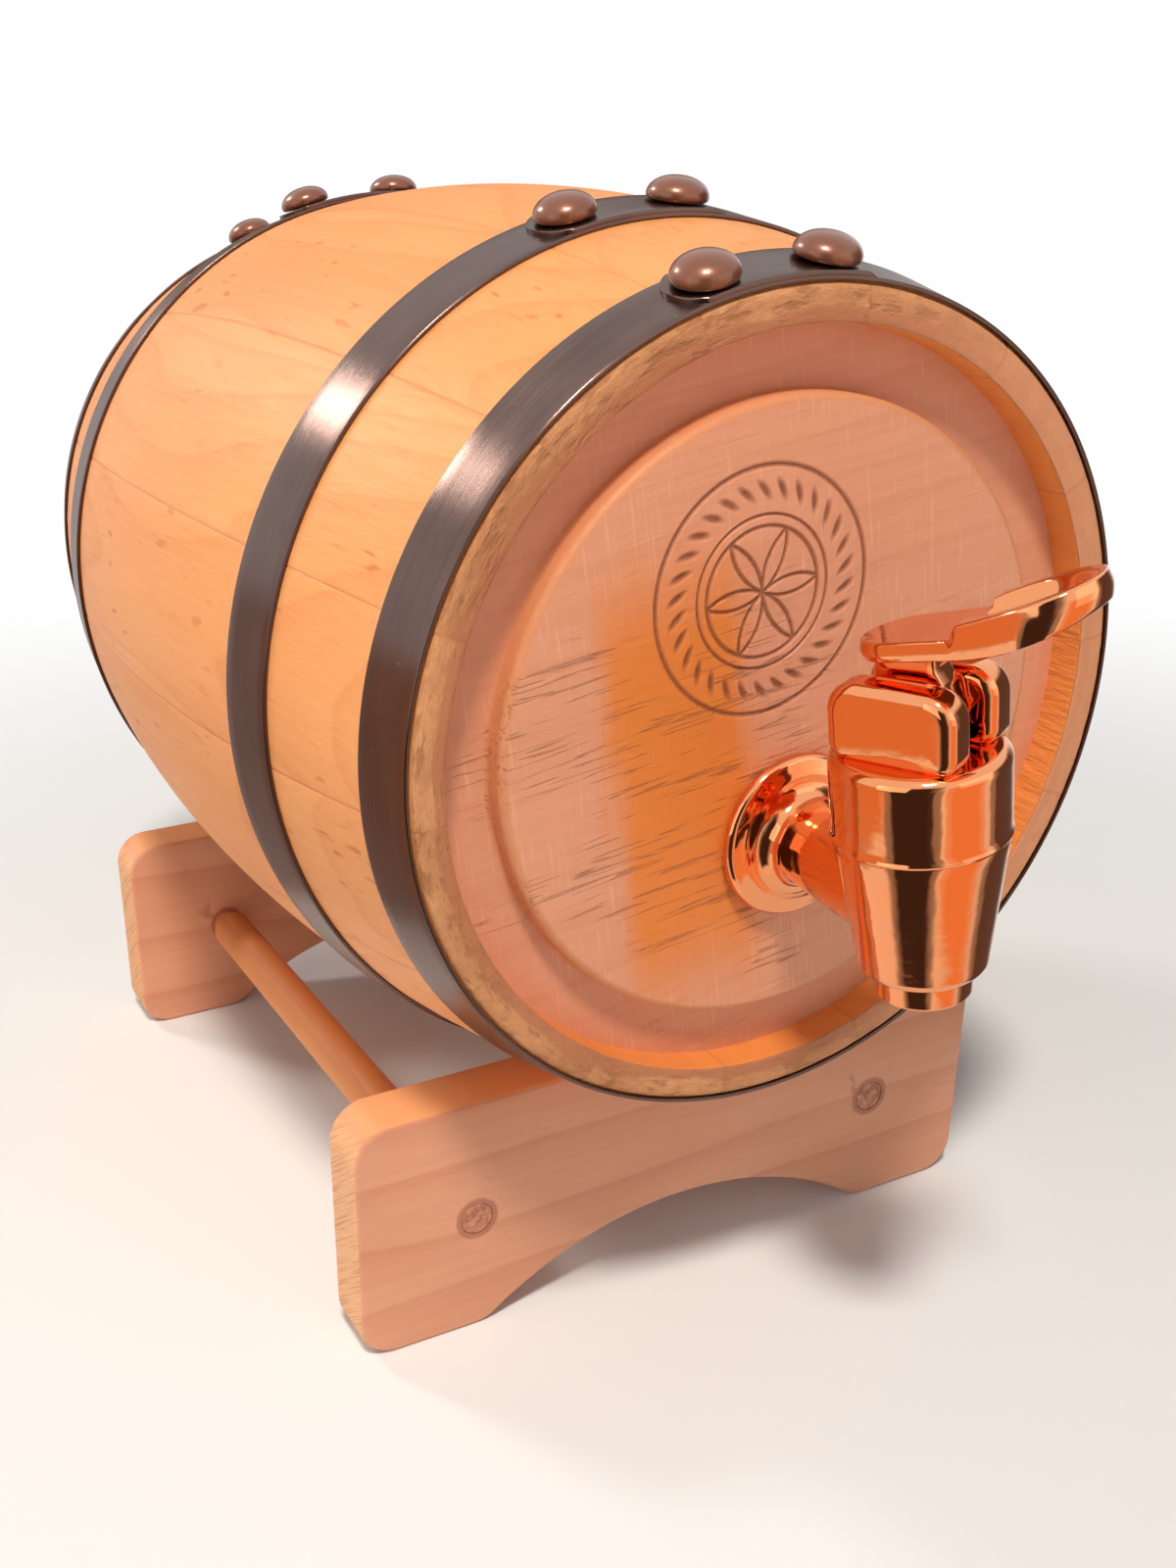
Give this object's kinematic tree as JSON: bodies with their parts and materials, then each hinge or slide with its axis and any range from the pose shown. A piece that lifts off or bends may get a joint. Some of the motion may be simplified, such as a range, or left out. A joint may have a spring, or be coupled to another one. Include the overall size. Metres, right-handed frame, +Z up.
{
  "type": "cask drink dispenser",
  "caption": "Small coopered oak cask lying in a two-plate wooden cradle, with a copper lever tap in its front head for pouring spirits.",
  "frame": {"origin": "on the table, under the middle of the box round the whole object", "axes": "+Z up, +Y from the tap to the rear head along the cask, +X to the right as seen from in front of the tap"},
  "size_m": [0.1766, 0.2843, 0.2227],
  "materials": {
    "stand_wood": "sanded pale softwood",
    "cask_wood": "sanded pale wood",
    "head_wood": "sanded pale wood",
    "bung_wood": "turned wood",
    "hoop_steel": "satin",
    "rivet_brown": "glossy brown lacquer",
    "copper_plate": "mirror copper plating",
    "silicone": "matt translucent white",
    "valve_steel": "turned",
    "nut_nylon": "moulded"
  },
  "bodies": {
    "stand": {"front_cradle": "stand_wood", "rear_cradle": "stand_wood", "left_stretcher": "stand_wood", "right_stretcher": "stand_wood"},
    "cask": {"stave_1": "cask_wood", "stave_2": "cask_wood", "stave_3": "cask_wood", "stave_4": "cask_wood", "stave_5": "cask_wood", "stave_6": "cask_wood", "stave_7": "cask_wood", "stave_8": "cask_wood", "stave_9": "cask_wood", "stave_10": "cask_wood", "stave_11": "cask_wood", "stave_12": "cask_wood", "stave_13": "cask_wood", "stave_14": "cask_wood", "front_head": "head_wood", "rear_head": "head_wood", "front_chime_hoop": "hoop_steel", "front_bilge_hoop": "hoop_steel", "rear_bilge_hoop": "hoop_steel", "rear_chime_hoop": "hoop_steel", "front_chime_rivets": "rivet_brown", "front_bilge_rivets": "rivet_brown", "rear_bilge_rivets": "rivet_brown", "rear_chime_rivets": "rivet_brown", "tap_body": "copper_plate", "tap_bonnet": "copper_plate", "bonnet_gasket": "silicone", "lever_pin": "valve_steel", "valve_spring": "valve_steel", "stem_seal": "silicone", "outer_washer": "silicone", "inner_washer": "silicone", "lock_nut": "nut_nylon"},
    "lever": {"lever": "copper_plate"},
    "plunger": {"valve_stem": "valve_steel", "valve_plug": "silicone"},
    "bung": {"bung": "bung_wood"}
  },
  "joints": [
    {"name": "cask_roll", "type": "hinge", "parent": "stand", "child": "cask", "pos_m": [0, 0.0306, 0.1328], "axis": [0, 1, 0], "continuous": true},
    {"name": "lever_press", "type": "hinge", "parent": "cask", "child": "lever", "pos_m": [-0.00042, -0.11843, 0.14648], "axis": [0.9301, 0.342, 0.134], "range_deg": [0, 22]},
    {"name": "valve_lift", "type": "slide", "parent": "cask", "child": "plunger", "axis": [-0.1426, 0, 0.9898], "range_m": [0, 0.0025], "stiffness_N_per_m": 300, "springref_m": -0.004, "deforming": ["valve_spring"]},
    {"name": "bung_pull", "type": "slide", "parent": "cask", "child": "bung", "axis": [0, 1, 0], "range_m": [0, 0.04]}
  ],
  "couplings": [
    {"joint": "lever_press", "follows": "valve_lift", "rad_per_m": 153.58}
  ]
}
